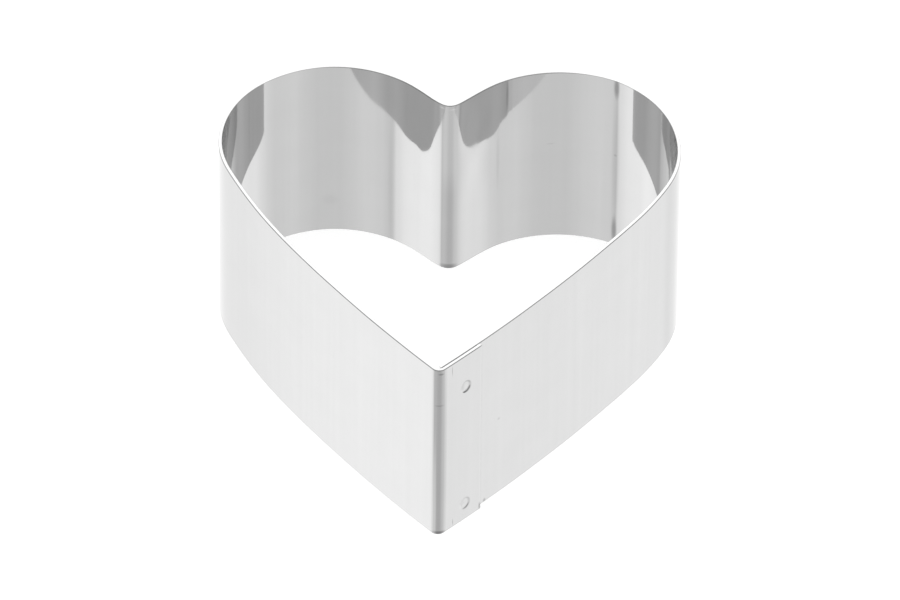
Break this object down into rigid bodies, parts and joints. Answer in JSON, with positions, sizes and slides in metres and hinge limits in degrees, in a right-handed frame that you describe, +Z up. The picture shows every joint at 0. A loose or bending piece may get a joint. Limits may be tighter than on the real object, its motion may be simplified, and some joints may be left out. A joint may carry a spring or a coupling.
{
  "type": "heart cookie cutter",
  "caption": "Open heart-shaped cookie cutter and pastry ring: a bent strip of sheet steel, lapped beside the tip and spot welded.",
  "frame": {"origin": "middle of the bounding box, at the bottom rim", "axes": "+Z up along the wall's height, the heart's tip towards -Y, the lobes towards +Y, the lap on the +X side of the tip"},
  "size_m": [0.088, 0.0904, 0.04],
  "materials": {
    "stainless_steel": "bright rolled sheet, satin to mirror, with fine rolling lines",
    "weld_steel": "pressed dent of an electrode, slightly duller than the sheet"
  },
  "bodies": {
    "root": {"heart_band": "stainless_steel", "upper_spot_weld": "weld_steel", "lower_spot_weld": "weld_steel"}
  },
  "joints": []
}
